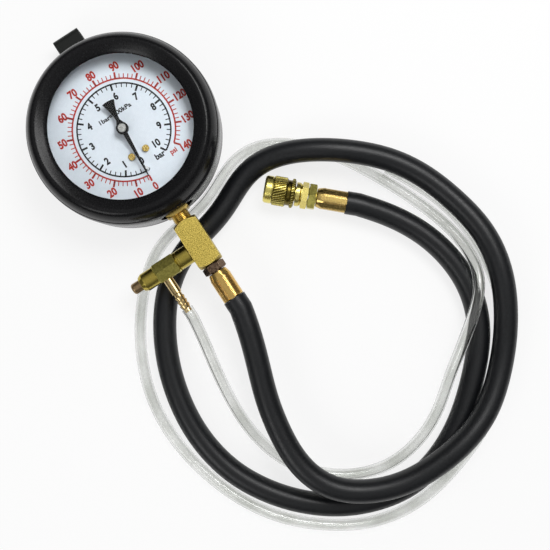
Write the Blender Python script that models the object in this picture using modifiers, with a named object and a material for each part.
"""Fuel pressure tester: a dial gauge in a rubber boot, a brass manifold with a bleed
valve, a rubber fuel hose with a knurled coupler, and a clear drain tube.

The gauge lies on its back. The origin is the middle of the boot's back face, +Z points
out of the dial, the stem points along -Y and the hanging hook along +Y.
Units are metres; sizes are written in millimetres times MM.
"""

import math

import bmesh
import bpy
from mathutils import Matrix, Vector

MM = 0.001
GAP = 0.3 * MM  # clearance between pieces that touch
RUN = 0.2 * MM  # radial clearance of a shaft in its bearing
FIT = 0.1 * MM  # clearance of pieces pressed or riveted together
EDGE = 0.3 * MM  # width of a broken edge
PAST = 1.0 * MM  # how far a cutter reaches past the face that it opens

# Rubber boot, drawn round the gauge that it covers
BOOT_RADIUS = 47.5 * MM
BOOT_WALL = 5.6 * MM  # beside the bezel
BOOT_COVER = 6.2 * MM  # how far its front reaches in over the bezel
BOOT_CREST_INSET = 6.2 * MM
BOOT_CREST_RISE = 2.8 * MM  # from the lip up to the crest
BOOT_CREST_SLOPE = 0.9 * MM
BOOT_BULGE_DROP = 15.0 * MM  # from the crest down to the widest part
BOOT_REST_INSET = 5.5 * MM
BOOT_FOOT = 7.0 * MM
BOOT_FLOOR = 3.0 * MM
BOOT_POCKET_FLOOR = 1.6 * MM
BOOT_LIP = 0.9 * MM
BOOT_GROOVE_WIDTH = 1.6 * MM
BOOT_GROOVE_DEPTH = 0.9 * MM
BOOT_LOWER_GROOVE = 9.0 * MM  # up from the back
BOOT_UPPER_GROOVE_DROP = 8.0 * MM  # down from the crest
BOOT_STEM_CLEARANCE = 0.8 * MM
ROUND_SEGMENTS = 36
FINE_SEGMENTS = 16
SMALL_SEGMENTS = 12

# Steel case, bezel and lens
CASE_WALL = 0.8 * MM
CASE_BEND = 1.5 * MM
BEZEL_WALL = 0.7 * MM
BEZEL_SKIRT = 6.5 * MM
BEZEL_RIM = 2.6 * MM  # how far it reaches in over the case's edge
LENS_THICKNESS = 1.8 * MM
LENS_STANDOFF = 6.2 * MM  # from the dial's face up to the lens

# Dial and pointer
DIAL_THICKNESS = 0.8 * MM
DIAL_EDGE_CLEARANCE = 1.2 * MM
DIAL_HOLE_RADIUS = 2.0 * MM
DIAL_POST_LENGTH = 4.4 * MM
DIAL_SCREW_X = 4.05 * MM
DIAL_SCREW_Y = -13.6 * MM
SCREW_HEAD_RADIUS = 1.8 * MM
SCREW_HEAD_HEIGHT = 0.9 * MM
SCREW_SHANK_RADIUS = 1.0 * MM
SCREW_HEAD_ROUND = 0.35 * MM
SCREW_SLOT_WIDTH = 0.5 * MM
SCREW_SLOT_DEPTH = 0.4 * MM
STOP_PIN_RADIUS = 0.7 * MM
STOP_PIN_Y = -22.7 * MM
STOP_PIN_HEIGHT = 4.4 * MM
STOP_PIN_FLANGE = 0.6 * MM
POINTER_REST_DEG = 4.0  # clockwise from the stem as the dial is read
POINTER_LENGTH = 26.8 * MM
POINTER_TAIL = 15.1 * MM
POINTER_FAN = 10.5 * MM  # length of the tail's flared end
POINTER_FAN_CORNER = 0.6 * MM
POINTER_FAN_HALF_WIDTH = 3.3 * MM
POINTER_FAN_END_HALF_WIDTH = 1.8 * MM
POINTER_NECK_HALF_WIDTH = 0.9 * MM
POINTER_THICKNESS = 0.5 * MM
POINTER_LIFT = 3.4 * MM
POINTER_ROOT_HALF_WIDTH = 1.25 * MM
POINTER_TIP_HALF_WIDTH = 0.25 * MM
HUB_RADIUS = 3.2 * MM
HUB_CAP_RADIUS = 2.2 * MM
HUB_BORE_DEPTH = 0.8 * MM
HUB_RING_HEIGHT = 0.6 * MM
HUB_TOP_CLEARANCE = 0.4 * MM

# Geared movement
MODULE = 0.3 * MM
PINION_TEETH = 12
SECTOR_FULL_TEETH = 108
SECTOR_CUT_TEETH = 15
PRESSURE_ANGLE_DEG = 25.0
BACKLASH = 0.10 * MM
GEAR_THICKNESS = 1.4 * MM
PINION_LENGTH = 2.6 * MM
SECTOR_PIVOT_DEG = -60.0
ARBOR_RADIUS = 0.8 * MM
PLATE_THICKNESS = 1.2 * MM
BACK_PLATE_BOTTOM = 10.6 * MM
PLATE_SPACING = 7.2 * MM
PLATE_EDGE = 3.0 * MM
GEAR_LIFT = 2.0 * MM  # from the back plate up to the gears
PILLAR_RADIUS = 1.6 * MM
PILLAR_SHOULDER = 0.5 * MM
PILLARS = ((-9.5 * MM, -11.5 * MM), (-9.5 * MM, 8.0 * MM), (10.0 * MM, 8.0 * MM))
POST_RADIUS = 1.9 * MM
TAIL_LENGTH = 7.0 * MM
TAIL_REST_DEG = -77.4
TAIL_END_RADIUS = 1.7 * MM
SECTOR_BOSS_RADIUS = 2.6 * MM
SECTOR_RIM_DEPTH = 2.4 * MM
LINK_LENGTH = 7.5 * MM
LINK_DEG = 30.0
LINK_THICKNESS = 0.8 * MM
LINK_PIN_RADIUS = 0.7 * MM
LINK_EYE_RADIUS = 2.1 * MM
LINK_ROOT_RADIUS = 1.5 * MM
EYE_PLAY = 0.45 * MM
HAIRSPRING_TURNS = 4
HAIRSPRING_WIRE = 0.12 * MM
HAIRSPRING_INNER = 1.9 * MM
HAIRSPRING_OUTER = 5.6 * MM
COLLET_RADIUS = 1.5 * MM
COLLET_THICKNESS = 1.0 * MM
HAIRSPRING_LIFT = 2.2 * MM  # above the gears

# Bourdon tube
TUBE_RADIUS = 28.0 * MM
TUBE_HALF_WIDTH = 2.1 * MM
TUBE_HALF_HEIGHT = 4.6 * MM
TUBE_TIP_DEG = -32.0
TIP_LENGTH = 3.0 * MM
TIP_CAP_WALL = 0.4 * MM
TIP_LUG_RADIUS = 1.6 * MM

# Gauge socket
STEM_HEIGHT = 19.5 * MM
SOCKET_BLOCK_WIDTH = 15.0 * MM
SOCKET_TUBE_SEAT = 2.0 * MM  # how far the tube's root lies behind the block's front
SOCKET_CASE_CLEARANCE = 4.4 * MM
SOCKET_NECK_RADIUS = 5.0 * MM
SOCKET_FLATS = 12.0 * MM
SOCKET_FLATS_INSET = 3.5 * MM  # how far the flats start inside the boot's side
SOCKET_FLATS_LENGTH = 4.9 * MM
SOCKET_THREAD_RADIUS = 4.7 * MM
SOCKET_THREAD_LENGTH = 11.6 * MM
SOCKET_THREAD_CHAMFER = 0.6 * MM
SOCKET_BORE_RADIUS = 1.5 * MM
CARRIER_WIDTH = 11.0 * MM
CARRIER_THICKNESS = 2.6 * MM
CARRIER_FRONT = 9.0 * MM
CARRIER_SCREW_X = 3.2 * MM
CARRIER_SCREW_Y = 5.0 * MM
CARRIER_SCREW_HEAD_RADIUS = 1.6 * MM
CARRIER_SCREW_HEAD_HEIGHT = 1.0 * MM
CASE_SCREW_X = 5.0 * MM
CASE_SCREW_DEPTH = 3.5 * MM
CASE_SCREW_HEAD_HEIGHT = 1.1 * MM

# Manifold block
BLOCK_WIDTH = 12.5 * MM
BLOCK_STANDOFF = 4.3 * MM  # from the stem's flats to the block
BLOCK_LENGTH = 25.6 * MM
BLOCK_CHAMFER = 1.9 * MM
BLOCK_FACE_RADIUS = 6.0 * MM
BLOCK_PASSAGE_RADIUS = 1.8 * MM
BLOCK_THREAD_DEPTH = 7.8 * MM

# Bleed valve
VALVE_OFFSET = 15.2 * MM  # from the block's start to the valve's axis
NIPPLE_RADIUS = 5.0 * MM
NIPPLE_SPIGOT_RADIUS = 3.4 * MM
NIPPLE_SPIGOT_DEPTH = 3.8 * MM
NIPPLE_BORE_RADIUS = 1.5 * MM
VALVE_HEX_START = -14.3 * MM
VALVE_HEX_LENGTH = 12.2 * MM
VALVE_HEX_FLATS = 10.1 * MM
HEX_CHAMFER = 0.7 * MM
VALVE_CHAMBER_RADIUS = 3.0 * MM
VALVE_SEAT_RADIUS = 1.6 * MM
VALVE_SEAT_DEPTH = 6.0 * MM
VALVE_SEAT_THICKNESS = 1.0 * MM
BUSH_RADIUS = 4.8 * MM
BUSH_LENGTH = 8.5 * MM
BUSH_CHAMFER = 2.0 * MM
BUSH_CHAMFER_WIDTH = 1.2 * MM
BUSH_SPRING_SEAT = 2.0 * MM
BUSH_SPIGOT_RADIUS = 2.7 * MM
BUSH_SPIGOT_DEPTH = 2.0 * MM
BUTTON_RADIUS = 2.9 * MM
BUTTON_PROUD = 5.3 * MM
BUTTON_STEM_RADIUS = 0.9 * MM
BUTTON_TRAVEL = 1.3 * MM
BUTTON_PLAY = 0.15 * MM
BUTTON_SINK = 2.0 * MM  # how far its head reaches into the bush
BUTTON_ROUND = 0.6 * MM
FLANGE_RADIUS = 2.0 * MM
FLANGE_THICKNESS = 0.4 * MM
SEAL_RADIUS = 2.6 * MM
SEAL_THICKNESS = 0.7 * MM
VALVE_SPRING_RADIUS = 2.1 * MM
VALVE_SPRING_WIRE = 0.25 * MM
VALVE_SPRING_TURNS = 4

# Drain barb and clear tube
BARB_X = -22.7 * MM
BARB_RADIUS = 2.6 * MM
BARB_SHANK = 9.8 * MM
BARB_RIB_COUNT = 3
BARB_RIB_PITCH = 2.3 * MM
BARB_RIB_DEPTH = 0.5 * MM
BARB_BORE_RADIUS = 1.0 * MM
BARB_SPIGOT_RADIUS = 1.7 * MM
BARB_SPIGOT_CLEARANCE = 0.4 * MM
DRAIN_TUBE_RADIUS = 3.0 * MM

# Hose ends
HOSE_RADIUS = 6.0 * MM
INSERT_FLATS = 10.4 * MM
INSERT_HEX_LENGTH = 4.1 * MM
INSERT_THREAD_RADIUS = 4.0 * MM
INSERT_THREAD_LENGTH = 6.0 * MM
INSERT_THREAD_END_CLEARANCE = 0.4 * MM
INSERT_TAIL_RADIUS = 3.0 * MM
INSERT_TAIL_STOP = 0.5 * MM  # how far the tail ends inside its ferrule
INSERT_RIB_COUNT = 3
INSERT_RIB_DEPTH = 0.5 * MM
INSERT_PLAIN_TAIL = 4.0 * MM
INSERT_BORE_RADIUS = 2.0 * MM
FERRULE_RADIUS = 5.7 * MM
FERRULE_LENGTH = 15.5 * MM
FERRULE_CONE = 3.4 * MM
FERRULE_NECK_RADIUS = 5.0 * MM
FERRULE_WALL = 1.0 * MM
FERRULE_FLATS = 10.7 * MM
FERRULE_ROUND = 0.6 * MM
FERRULE_SEAT = 1.2 * MM

# Coupler at the free end of the hose; its axis lies level, mouth first
COUPLER_MOUTH = (43.2 * MM, -60.4 * MM)
COUPLER_AXIS_HEIGHT = 7.9 * MM
COUPLER_HEADING_DEG = -42.7
NUT_LENGTH = 16.0 * MM
NUT_BAND_RADIUS = 7.1 * MM
NUT_BAND_LENGTH = 4.6 * MM
NUT_MOUTH_CHAMFER = 1.0 * MM
NUT_GROOVE_RADIUS = 6.8 * MM
KNURL_RADIUS = 7.6 * MM
KNURL_DEPTH = 0.55 * MM
KNURL_COUNT = 22
KNURL_LENGTH = 7.0 * MM
KNURL_TWIST_DEG = 26.0
REAR_KNURL_LENGTH = 1.8 * MM
NUT_BORE_RADIUS = 5.6 * MM
NUT_BORE_DEPTH = 12.6 * MM
COUPLER_SHAFT_RADIUS = 3.9 * MM
COUPLER_FLANGE_THICKNESS = 1.6 * MM
COUPLER_NECK_RADIUS = 6.2 * MM
COUPLER_NECK_LENGTH = 3.0 * MM
COUPLER_HEX_FLATS = 12.0 * MM
COUPLER_HEX_LENGTH = 3.3 * MM
COUPLER_BORE_RADIUS = 2.2 * MM
END_HEX_FLATS = 12.4 * MM
END_HEX_TURN_DEG = 30.0  # a ridge faces up
END_THREAD_LENGTH = 4.4 * MM
COUPLER_NECK_ROUND = 0.8 * MM
KNURL_ROOT = 0.25 * MM  # how far the nut lies under the knurl's valleys
SEAL_BORE_RADIUS = 2.6 * MM
COUPLER_SEAL_THICKNESS = 1.4 * MM
CORE_PIN_RADIUS = 0.8 * MM
CORE_PIN_TIP = 0.4 * MM
CORE_BASE_RADIUS = 1.9 * MM
CORE_BASE_LENGTH = 2.6 * MM
CORE_SHOULDER = (0.2 * MM, 0.6 * MM)
CORE_FLAT_OFFSET = 1.1 * MM
CORE_LENGTH = 8.0 * MM

# Hanging hook
HOOK_WIDTH = 14.5 * MM
HOOK_THICKNESS = 1.5 * MM
HOOK_PROUD = 13.5 * MM  # beyond the boot's side
HOOK_TOP = 13.6 * MM
HOOK_BOTTOM = 1.4 * MM
HOOK_BEND_RADIUS = 2.6 * MM
HOOK_RETURN = 6.0 * MM
HOOK_FOOT = 8.0 * MM
HOOK_FOOT_BEND = 1.2 * MM

# Cord routes, chosen by hand from the picture, in millimetres
HOSE_ROUTE = (
    (-2.8, -118, 19.3), (-8.2, -134.5, 18.8), (-14.4, -151.5, 18.4), (-18.9, -181.5, 18.5),
    (-17.6, -193, 18.6), (-14, -202.5, 18.6), (-8, -210.5, 18.6), (10, -221.3, 18.6),
    (22, -224.7, 18.6), (34.5, -225.6, 18.8), (57, -223.5, 18.9), (77, -216.8, 15.8),
    (96, -201.5, 12.9), (107, -188.5, 13.4), (120, -164, 15.9), (124.6, -140, 15),
    (120, -114, 12.6), (114.8, -99, 12.4), (105.7, -83.8, 12.4), (93.5, -71.4, 12.6),
    (79.5, -60.6, 13), (66.5, -52.8, 11.4), (53.5, -48, 9.2), (41.5, -47.4, 7.2),
    (30.4, -52, 6.2), (16.2, -59.5, 6), (2, -62, 6), (-12.5, -66.4, 6), (-27.6, -77, 6),
    (-39.7, -92.5, 6), (-48.6, -110.5, 6), (-53.6, -128.7, 6), (-55.4, -146.6, 6),
    (-53.6, -163.6, 6), (-48.8, -179.1, 6), (-32.8, -203.2, 6), (-8.8, -222, 6),
    (19.1, -230.4, 6), (34.9, -229.1, 6), (50, -223.8, 6), (66, -214.2, 6), (93.5, -187.7, 6),
    (101, -175, 6), (104.8, -162, 6), (105.4, -148.6, 6), (103.2, -134.3, 6), (98.5, -121, 6),
    (91, -107.9, 6.4), (84.2, -99.2, 7.1),
)
DRAIN_ROUTE = (
    (-23.6, -104.5, 19), (-27.2, -122.3, 16.8), (-30.2, -141.5, 12.6), (-31.2, -158, 8),
    (-29.6, -171.5, 4.6), (-26, -183, 3.4), (-19, -194.3, 3.1), (-10, -203.6, 3), (0, -210.4, 3),
    (10, -214.6, 3), (21, -216.8, 3), (35, -215.6, 3), (48.5, -211.2, 3), (60, -204.2, 3.3),
    (70, -195.2, 4.4), (86.4, -181.6, 12), (98.8, -171, 16.2), (104.6, -166, 16.8),
    (109.4, -160.3, 15.8), (112.9, -153, 12), (114.5, -145, 8.2), (114, -133, 3.8),
    (110.2, -118.4, 3.2), (94, -82, 3), (77.7, -57.2, 3), (58.5, -41.2, 3), (48.5, -38, 3),
    (38.3, -38.2, 3), (29, -42, 3), (18.5, -47.8, 3), (7, -51.2, 3), (-8.9, -52.4, 3),
    (-25.1, -58.3, 3), (-50.4, -85, 3), (-63.6, -112, 3), (-66.9, -127.1, 3), (-67.5, -143, 3),
    (-65.4, -159.4, 3), (-56.1, -188, 3), (-40.3, -211.7, 3), (-14.5, -232, 3), (0.3, -238.3, 3),
    (16, -241.1, 3), (33.5, -240, 3), (67, -229.6, 3), (80, -222, 3), (103.3, -199.7, 3),
    (111.4, -186.2, 3), (119.8, -160, 3), (121, -131.5, 3), (113, -103.9, 3), (103, -85.6, 3),
)
HOSE_POINT_COUNT = 38
DRAIN_POINT_COUNT = 64
HOSE_STRAIGHT = 9.0 * MM  # how far each cord leaves its fitting straight
DRAIN_STRAIGHT = 6.0 * MM

# Radii of the gauge, from the boot's side inwards
BOOT_BORE_RADIUS = BOOT_RADIUS - BOOT_WALL
BOOT_CREST_RADIUS = BOOT_RADIUS - BOOT_CREST_INSET
BOOT_REST_RADIUS = BOOT_RADIUS - BOOT_REST_INSET
BEZEL_RADIUS = BOOT_BORE_RADIUS - GAP
BOOT_OPENING_RADIUS = BEZEL_RADIUS - BOOT_COVER
CASE_RADIUS = BEZEL_RADIUS - BEZEL_WALL - GAP
BEZEL_INNER_RADIUS = CASE_RADIUS - BEZEL_RIM
DIAL_RADIUS = CASE_RADIUS - CASE_WALL - DIAL_EDGE_CLEARANCE
HOOK_REACH = BOOT_RADIUS + HOOK_PROUD

# Heights of the gauge, from its back plate up to the boot's crest
CASE_BOTTOM = BOOT_FLOOR + GAP
FRONT_PLATE_BOTTOM = BACK_PLATE_BOTTOM + PLATE_THICKNESS + PLATE_SPACING
FRONT_PLATE_TOP = FRONT_PLATE_BOTTOM + PLATE_THICKNESS
DIAL_BACK = FRONT_PLATE_TOP + GAP + DIAL_POST_LENGTH + GAP
DIAL_FACE = DIAL_BACK + DIAL_THICKNESS
LENS_BOTTOM = DIAL_FACE + LENS_STANDOFF
LENS_TOP = LENS_BOTTOM + LENS_THICKNESS
CASE_TOP = LENS_BOTTOM - GAP
BEZEL_TOP = LENS_TOP + GAP + BEZEL_WALL
LIP_BOTTOM = BEZEL_TOP + GAP
BOOT_HEIGHT = LIP_BOTTOM + BOOT_LIP + BOOT_CREST_RISE
BOOT_BULGE_HEIGHT = BOOT_HEIGHT - BOOT_BULGE_DROP
BOOT_GROOVE_HEIGHTS = (BOOT_LOWER_GROOVE, BOOT_HEIGHT - BOOT_UPPER_GROOVE_DROP)

# Places that follow from the sizes above
CENTRE_DISTANCE = MODULE * (PINION_TEETH + SECTOR_FULL_TEETH) / 2
SECTOR_PIVOT = (
    CENTRE_DISTANCE * math.cos(math.radians(SECTOR_PIVOT_DEG)),
    CENTRE_DISTANCE * math.sin(math.radians(SECTOR_PIVOT_DEG)),
)
GEAR_BOTTOM = BACK_PLATE_BOTTOM + PLATE_THICKNESS + GEAR_LIFT
SOCKET_BOTTOM = CASE_BOTTOM + CASE_WALL + GAP
SOCKET_BLOCK_TOP = DIAL_BACK - GAP - STOP_PIN_FLANGE - GAP
SOCKET_BLOCK_FRONT = SOCKET_TUBE_SEAT - TUBE_RADIUS
SOCKET_BLOCK_BACK = SOCKET_CASE_CLEARANCE + CASE_WALL - CASE_RADIUS
SOCKET_BLOCK_MIDDLE = (SOCKET_BLOCK_FRONT + SOCKET_BLOCK_BACK) / 2
TUBE_ROOT_DEG = -90 - math.degrees(
    math.asin((SOCKET_BLOCK_WIDTH / 2 + GAP) / (TUBE_RADIUS - TUBE_HALF_WIDTH))
)
CASE_SCREW_Y = SOCKET_BLOCK_MIDDLE
BOOT_POCKET_RADIUS = math.hypot(CASE_SCREW_X, CASE_SCREW_Y) + SCREW_HEAD_RADIUS + GAP
SOCKET_FLATS_START = SOCKET_FLATS_INSET - BOOT_RADIUS
SOCKET_FLATS_END = SOCKET_FLATS_START - SOCKET_FLATS_LENGTH
SOCKET_THREAD_END = SOCKET_FLATS_END - SOCKET_THREAD_LENGTH
BLOCK_START = SOCKET_FLATS_END - BLOCK_STANDOFF
BLOCK_END = BLOCK_START - BLOCK_LENGTH
VALVE_Y = BLOCK_START - VALVE_OFFSET
VALVE_HEX_END = VALVE_HEX_START - VALVE_HEX_LENGTH
BUSH_START = VALVE_HEX_END - GAP
BUSH_END = BUSH_START - BUSH_LENGTH
BARB_START = VALVE_Y - VALVE_HEX_FLATS / 2 - GAP
BARB_END = BARB_START - BARB_SHANK - BARB_RIB_COUNT * BARB_RIB_PITCH
FERRULE_START = BLOCK_END - GAP - INSERT_HEX_LENGTH - GAP
FERRULE_END = FERRULE_START - FERRULE_LENGTH


def clear_scene():
    for item in list(bpy.data.objects):
        bpy.data.objects.remove(item, do_unlink=True)


def new_collection(name):
    made = bpy.data.collections.new(name)
    bpy.context.scene.collection.children.link(made)
    return made


clear_scene()
PARTS = new_collection("fuel_pressure_tester")
CUTTERS = new_collection("cutters")


def material(name, colour, roughness, metallic=0.0, alpha=1.0):
    made = bpy.data.materials.new(name)
    made.use_nodes = True
    shader = made.node_tree.nodes["Principled BSDF"]
    shader.inputs["Base Color"].default_value = (*colour, 1.0)
    shader.inputs["Roughness"].default_value = roughness
    shader.inputs["Metallic"].default_value = metallic
    shader.inputs["Alpha"].default_value = alpha
    made.diffuse_color = (*colour, alpha)
    return made


RUBBER = material("black_rubber", (0.02, 0.02, 0.022), 0.6)
STEEL = material("plated_steel", (0.55, 0.56, 0.57), 0.35, 1.0)
BLACK_STEEL = material("black_painted_steel", (0.025, 0.025, 0.027), 0.45)
GLASS = material("clear_lens", (0.9, 0.95, 0.97), 0.05, 0.0, 0.25)
DIAL_WHITE = material("dial_white", (0.82, 0.87, 0.92), 0.5)
BRASS = material("brushed_brass", (0.62, 0.47, 0.17), 0.38, 1.0)
OLIVE_BRASS = material("olive_brass", (0.42, 0.36, 0.08), 0.3, 1.0)
BRIGHT_BRASS = material("bright_brass", (0.78, 0.58, 0.2), 0.22, 1.0)
DARK_BRASS = material("dark_brass", (0.2, 0.14, 0.09), 0.35, 1.0)
COPPER = material("copper_brown", (0.45, 0.25, 0.14), 0.4, 1.0)
CLEAR_PVC = material("clear_pvc", (0.75, 0.77, 0.75), 0.15, 0.0, 0.4)
POINTER_BLACK = material("pointer_black", (0.02, 0.02, 0.02), 0.4)
GREY_CAP = material("grey_cap", (0.3, 0.3, 0.31), 0.4, 0.3)


def finish(obj, surface, smooth_deg=35.0):
    obj.data.materials.append(surface)
    if obj.type == "MESH":
        obj.data.shade_smooth()
        obj.data.set_sharp_from_angle(angle=math.radians(smooth_deg))
    return obj


def link(name, mesh, collection):
    obj = bpy.data.objects.new(name, mesh)
    collection.objects.link(obj)
    return obj


def as_cutter(obj):
    obj.hide_render = True
    obj.display_type = "WIRE"
    return obj


def weld(mesh):
    """Merge doubled points and point every face outwards."""
    shape = bmesh.new()
    shape.from_mesh(mesh)
    bmesh.ops.remove_doubles(shape, verts=shape.verts, dist=0.000002)
    bmesh.ops.recalc_face_normals(shape, faces=shape.faces)
    shape.to_mesh(mesh)
    shape.free()


def apply_modifiers(obj):
    bpy.context.view_layer.update()
    depsgraph = bpy.context.evaluated_depsgraph_get()
    obj.data = bpy.data.meshes.new_from_object(obj.evaluated_get(depsgraph))
    obj.modifiers.clear()
    weld(obj.data)


def turned(name, profile, segments=32, collection=None):
    """Revolve a closed (radius, height) outline about the object's own Z.

    The outline starts at the top and runs down its outer side.
    """
    collection = collection or PARTS
    mesh = bpy.data.meshes.new(name)
    shape = bmesh.new()
    verts = [shape.verts.new((radius, 0, height)) for radius, height in profile]
    closed = profile[0][0] > 1e-9 or profile[-1][0] > 1e-9
    for a, b in zip(verts, verts[1:] + verts[:1]):
        if closed or b is not verts[0]:
            shape.edges.new((a, b))
    shape.to_mesh(mesh)
    shape.free()
    obj = link(name, mesh, collection)
    screw = obj.modifiers.new("turn", "SCREW")
    screw.steps = segments
    screw.render_steps = segments
    screw.use_merge_vertices = True
    screw.merge_threshold = 0.000005
    apply_modifiers(obj)
    if collection is CUTTERS:
        as_cutter(obj)
    return obj


def rod(name, radius, low, high, segments=24, collection=None, bore=0.0):
    """A plain turned cylinder, or a ring if it has a bore."""
    return turned(
        name, [(bore, high), (radius, high), (radius, low), (bore, low)], segments, collection
    )


def stepped_bore(name, steps, segments=24):
    """One turned cutter for a drilled hole; its (radius, low, high) steps run upwards."""
    profile = [(0, steps[-1][2])]
    for radius, low, high in reversed(steps):
        profile += [(radius, high), (radius, low)]
    profile.append((0, steps[0][1]))
    return turned(name, profile, segments, CUTTERS)


def outline_curve(name, outlines, bottom, thickness):
    """A flat closed shape, its holes given as further outlines, as a mesh."""
    curve = bpy.data.curves.new(name, "CURVE")
    curve.dimensions = "2D"
    curve.fill_mode = "BOTH"
    curve.extrude = thickness / 2
    for outline in outlines:
        spline = curve.splines.new("POLY")
        spline.points.add(len(outline) - 1)
        for point, (x, y) in zip(spline.points, outline):
            point.co = (x, y, 0, 1)
        spline.use_cyclic_u = True
    obj = bpy.data.objects.new(name, curve)
    obj.location.z = bottom + thickness / 2
    return obj


def curve_to_mesh(curve_obj, collection):
    """Replace a curve object with a welded mesh that takes its place."""
    CUTTERS.objects.link(curve_obj)
    bpy.context.view_layer.update()
    depsgraph = bpy.context.evaluated_depsgraph_get()
    mesh = bpy.data.meshes.new_from_object(curve_obj.evaluated_get(depsgraph))
    weld(mesh)
    mesh.materials.clear()
    name = curve_obj.name
    place = curve_obj.matrix_world.copy()
    bpy.data.objects.remove(curve_obj, do_unlink=True)
    obj = link(name, mesh, collection)
    obj.name = name
    obj.matrix_world = place
    if collection is CUTTERS:
        as_cutter(obj)
    return obj


def plate(name, outlines, bottom, thickness, collection=None):
    return curve_to_mesh(outline_curve(name, outlines, bottom, thickness), collection or PARTS)


def side_plate(name, outline, width, collection=None):
    """A plate standing across X, its outline given as (y, z)."""
    made = plate(name, [outline], -width / 2, width, collection)
    upright = Matrix(((0, 0, 1, 0), (1, 0, 0, 0), (0, 1, 0, 0), (0, 0, 0, 1)))
    made.matrix_world = upright @ made.matrix_world
    return made


def circle(radius, centre=(0, 0), count=20):
    turn = 2 * math.pi / count
    return [
        (centre[0] + radius * math.cos(i * turn), centre[1] + radius * math.sin(i * turn))
        for i in range(count)
    ]


def hexagon(flats, turn_deg=0.0):
    return [
        (
            flats / math.sqrt(3) * math.cos(math.radians(60 * i + turn_deg)),
            flats / math.sqrt(3) * math.sin(math.radians(60 * i + turn_deg)),
        )
        for i in range(6)
    ]


def box(name, low, high, collection=None):
    mesh = bpy.data.meshes.new(name)
    shape = bmesh.new()
    bmesh.ops.create_cube(shape, size=1.0)
    size = [b - a for a, b in zip(low, high)]
    middle = [(a + b) / 2 for a, b in zip(low, high)]
    bmesh.ops.scale(shape, vec=size, verts=shape.verts)
    bmesh.ops.translate(shape, vec=middle, verts=shape.verts)
    shape.to_mesh(mesh)
    shape.free()
    obj = link(name, mesh, collection or PARTS)
    return as_cutter(obj) if collection is CUTTERS else obj


def boolean(obj, tool, operation):
    """Apply one exact Boolean at once, and weld the seam it leaves."""
    step = obj.modifiers.new(operation.lower(), "BOOLEAN")
    step.operation = operation
    step.solver = "EXACT"
    step.object = tool
    apply_modifiers(obj)
    return obj


def cut(obj, tool):
    return boolean(obj, tool, "DIFFERENCE")


def join(obj, tool):
    return boolean(obj, tool, "UNION")


def common(obj, tool):
    return boolean(obj, tool, "INTERSECT")


def axis_empty(name, location, direction=None):
    """An empty on a joint's axis; its Z points along a level direction, or straight up."""
    empty = bpy.data.objects.new(name, None)
    empty.empty_display_size = 10 * MM
    PARTS.objects.link(empty)
    empty.location = location
    if direction:
        empty.rotation_euler = Vector(direction).to_track_quat("Z", "Y").to_euler()
    bpy.context.view_layer.update()
    return empty


def seat(obj, parent):
    obj.parent = parent
    return obj


def smooth_route(points, count):
    """Even points along a centripetal Catmull-Rom curve through the route's points."""
    route = [Vector(point) for point in points]
    route = [2 * route[0] - route[1]] + route + [2 * route[-1] - route[-2]]
    fine = []
    for a, b, c, d in zip(route, route[1:], route[2:], route[3:]):
        t0 = 0.0
        t1 = t0 + math.sqrt((b - a).length)
        t2 = t1 + math.sqrt((c - b).length)
        t3 = t2 + math.sqrt((d - c).length)
        for step in range(20):
            t = t1 + (t2 - t1) * step / 20
            ab = a.lerp(b, (t - t0) / (t1 - t0))
            bc = b.lerp(c, (t - t1) / (t2 - t1))
            cd = c.lerp(d, (t - t2) / (t3 - t2))
            abc = ab.lerp(bc, (t - t0) / (t2 - t0))
            bcd = bc.lerp(cd, (t - t1) / (t3 - t1))
            fine.append(abc.lerp(bcd, (t - t1) / (t2 - t1)))
    fine.append(route[-2])
    travel = [0.0]
    for a, b in zip(fine, fine[1:]):
        travel.append(travel[-1] + (b - a).length)
    even = []
    index = 0
    for step in range(count):
        target = travel[-1] * step / (count - 1)
        while index < len(fine) - 2 and travel[index + 1] < target:
            index += 1
        span = travel[index + 1] - travel[index]
        even.append(fine[index].lerp(fine[index + 1], (target - travel[index]) / span))
    return even


def wire(name, points, radius, resolution=2, cyclic=False):
    """A round cord or wire along the points."""
    curve = bpy.data.curves.new(name, "CURVE")
    curve.dimensions = "3D"
    curve.bevel_depth = radius
    curve.bevel_resolution = resolution
    curve.use_fill_caps = True
    spline = curve.splines.new("POLY")
    spline.points.add(len(points) - 1)
    for point, place in zip(spline.points, points):
        point.co = (*place, 1)
    spline.use_cyclic_u = cyclic
    obj = bpy.data.objects.new(name, curve)
    PARTS.objects.link(obj)
    return obj


def boot_profile():
    """The boot's section: up the inside, over the lip and down the outside."""
    outer = [
        (BOOT_OPENING_RADIUS, LIP_BOTTOM + BOOT_LIP),
        (
            BOOT_OPENING_RADIUS + 0.6 * (BOOT_CREST_RADIUS - BOOT_OPENING_RADIUS),
            BOOT_HEIGHT - BOOT_CREST_SLOPE,
        ),
        (BOOT_CREST_RADIUS, BOOT_HEIGHT),
    ]
    for step in range(1, 5):
        angle = math.radians(90 - 22.5 * step)
        outer.append(
            (
                BOOT_CREST_RADIUS + (BOOT_RADIUS - BOOT_CREST_RADIUS) * math.cos(angle),
                BOOT_BULGE_HEIGHT + BOOT_BULGE_DROP * math.sin(angle),
            )
        )
    for step in range(4):
        angle = math.radians(30 * step)
        outer.append(
            (
                BOOT_REST_RADIUS + (BOOT_RADIUS - BOOT_REST_RADIUS) * math.cos(angle),
                BOOT_FOOT * (1 - math.sin(angle)),
            )
        )
    inner = [
        (0, BOOT_POCKET_FLOOR),
        (BOOT_POCKET_RADIUS, BOOT_POCKET_FLOOR),
        (BOOT_POCKET_RADIUS, BOOT_FLOOR),
        (BOOT_BORE_RADIUS, BOOT_FLOOR),
        (BOOT_BORE_RADIUS, LIP_BOTTOM),
        (BOOT_OPENING_RADIUS, LIP_BOTTOM),
    ]
    return inner + outer + [(0, 0)]


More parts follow.
